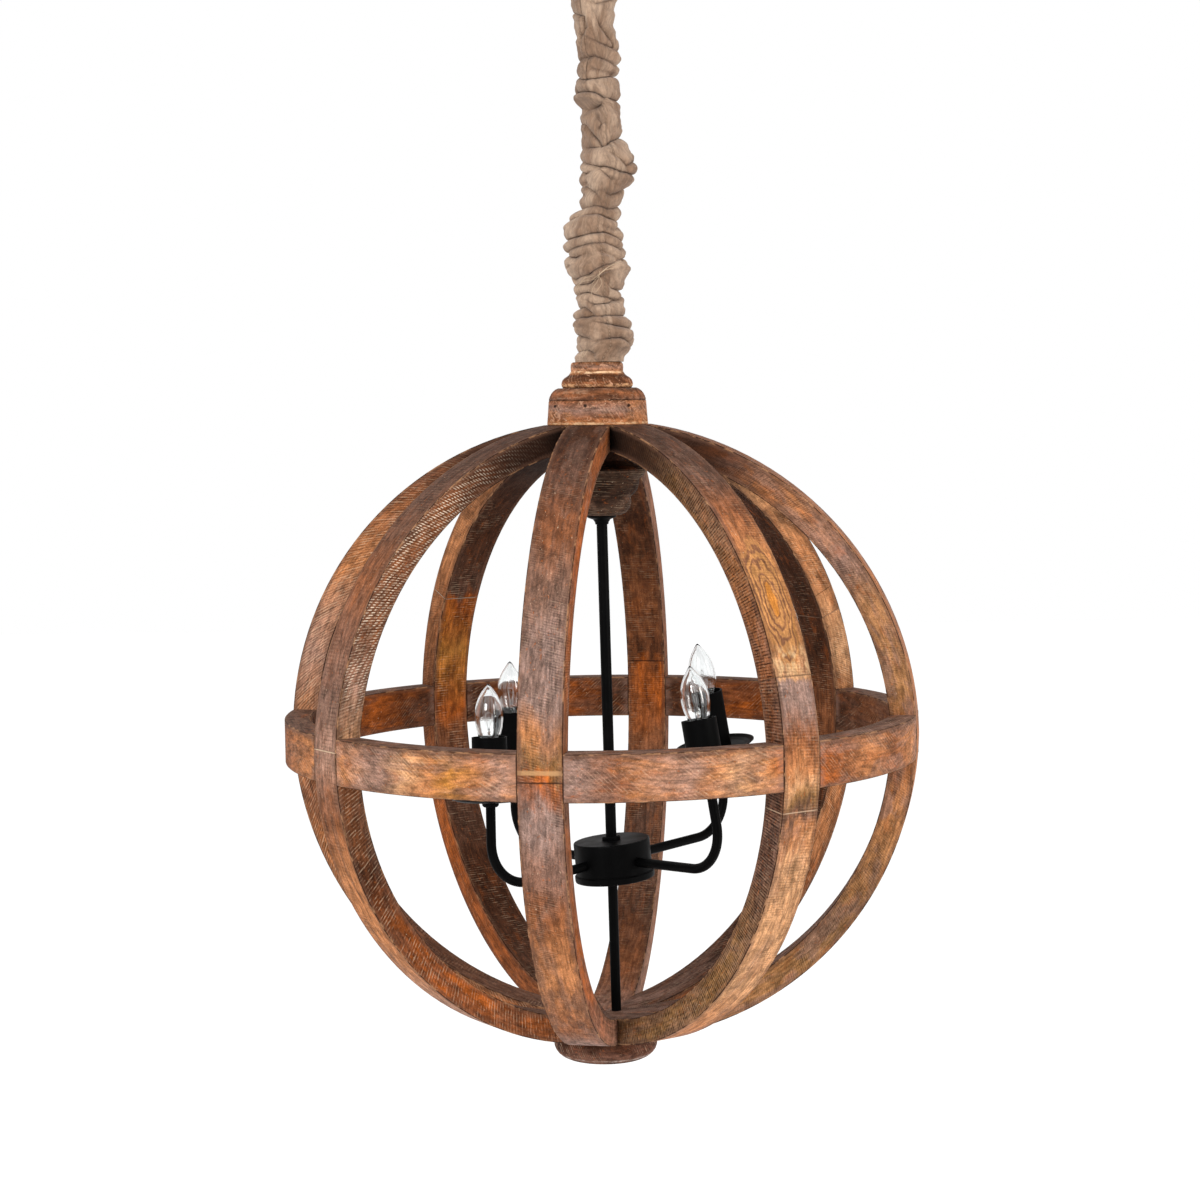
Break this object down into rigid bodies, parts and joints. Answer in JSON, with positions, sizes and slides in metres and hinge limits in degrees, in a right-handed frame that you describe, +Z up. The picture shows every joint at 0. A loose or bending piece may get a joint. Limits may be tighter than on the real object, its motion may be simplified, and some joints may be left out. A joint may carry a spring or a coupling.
{
  "type": "orb chandelier",
  "caption": "Wooden orb chandelier: bent ribs and a ring round a black cluster of candle lamps on a rod, hung by a chain in a gathered linen sleeve.",
  "frame": {"origin": "middle of the mounting strap's upper face, on the ceiling", "axes": "+Z up along the chain and the orb's axis, -Y towards the viewer of the picture, +X to that viewer's right"},
  "size_m": [0.71, 0.71, 1.2376],
  "materials": {
    "black_metal": "satin black paint",
    "black_candle": "satin black paint",
    "zinc_steel": "zinc plated",
    "chain_steel": "dark bronze paint",
    "linen": "plain weave linen, unbleached",
    "cord_jacket": "matte vinyl",
    "hub_wood": "stained and worn",
    "finial_wood": "stained and worn",
    "foot_wood": "stained and worn",
    "rib_wood": "rough-sawn, stained and worn",
    "ring_wood": "rough-sawn, stained and worn",
    "socket_plastic": "phenolic",
    "bulb_glass": "clear",
    "bulb_cap": "bright"
  },
  "bodies": {
    "ceiling_mount": {"canopy": "black_metal", "mounting_strap": "zinc_steel", "threaded_nipple": "zinc_steel", "nipple_nuts": "zinc_steel", "canopy_loop": "black_metal", "canopy_ring": "black_metal", "canopy_lead": "cord_jacket"},
    "swing_link": {"first_link": "chain_steel"},
    "chain_and_sleeve": {"chain": "chain_steel", "supply_cord": "cord_jacket", "linen_sleeve": "linen"},
    "rocking_link": {"last_link": "chain_steel"},
    "orb": {"hub_loop": "black_metal", "hub_neck": "hub_wood", "hub_ring_upper": "hub_wood", "hub_ring_lower": "hub_wood", "finial": "finial_wood", "rod_flange": "black_metal", "upper_rod": "black_metal", "lower_rod": "black_metal", "rod_lead": "cord_jacket", "foot_disc": "foot_wood", "cluster_body": "black_metal", "cluster_cover": "black_metal", "rod_couplings": "black_metal", "arm_collars": "black_metal", "bobeches": "black_metal", "sockets": "socket_plastic", "rib_1": "rib_wood", "rib_2": "rib_wood", "rib_3": "rib_wood", "rib_4": "rib_wood", "rib_5": "rib_wood", "rib_6": "rib_wood", "rib_7": "rib_wood", "rib_8": "rib_wood", "ring_segment_1": "ring_wood", "ring_segment_2": "ring_wood", "ring_segment_3": "ring_wood", "ring_segment_4": "ring_wood", "ring_segment_5": "ring_wood", "ring_segment_6": "ring_wood", "ring_segment_7": "ring_wood", "ring_segment_8": "ring_wood", "arm_1": "black_metal", "arm_2": "black_metal", "arm_3": "black_metal", "arm_4": "black_metal", "candle_cover_1": "black_candle", "candle_cover_2": "black_candle", "candle_cover_3": "black_candle", "candle_cover_4": "black_candle"},
    "bulb_1": {"bulb_glass_1": "bulb_glass", "bulb_base_1": "bulb_cap"},
    "bulb_2": {"bulb_glass_2": "bulb_glass", "bulb_base_2": "bulb_cap"},
    "bulb_3": {"bulb_glass_3": "bulb_glass", "bulb_base_3": "bulb_cap"},
    "bulb_4": {"bulb_glass_4": "bulb_glass", "bulb_base_4": "bulb_cap"}
  },
  "joints": [
    {"name": "swing_front_back", "type": "hinge", "parent": "ceiling_mount", "child": "swing_link", "pos_m": [0, 0, -0.06], "axis": [1, 0, 0], "range_deg": [-10, 10]},
    {"name": "swing_sideways", "type": "hinge", "parent": "swing_link", "child": "chain_and_sleeve", "pos_m": [0, 0, -0.08738], "axis": [0, 1, 0], "range_deg": [-10, 10]},
    {"name": "orb_rock", "type": "hinge", "parent": "chain_and_sleeve", "child": "rocking_link", "pos_m": [0, 0, -0.39602], "axis": [1, 0, 0], "range_deg": [-5, 5]},
    {"name": "orb_turn", "type": "hinge", "parent": "rocking_link", "child": "orb", "pos_m": [0, 0, -0.4239], "axis": [0, 0, 1], "range_deg": [-30, 30]},
    {"name": "bulb_1_out", "type": "slide", "parent": "orb", "child": "bulb_1", "axis": [-0.0069, 0.0682, 0.9977], "range_m": [0, 0.06]},
    {"name": "bulb_2_out", "type": "slide", "parent": "orb", "child": "bulb_2", "axis": [-0.1537, 0.0792, 0.9849], "range_m": [0, 0.06]},
    {"name": "bulb_3_out", "type": "slide", "parent": "orb", "child": "bulb_3", "axis": [-0.1648, -0.0682, 0.984], "range_m": [0, 0.06]},
    {"name": "bulb_4_out", "type": "slide", "parent": "orb", "child": "bulb_4", "axis": [-0.0179, -0.0792, 0.9967], "range_m": [0, 0.06]}
  ]
}
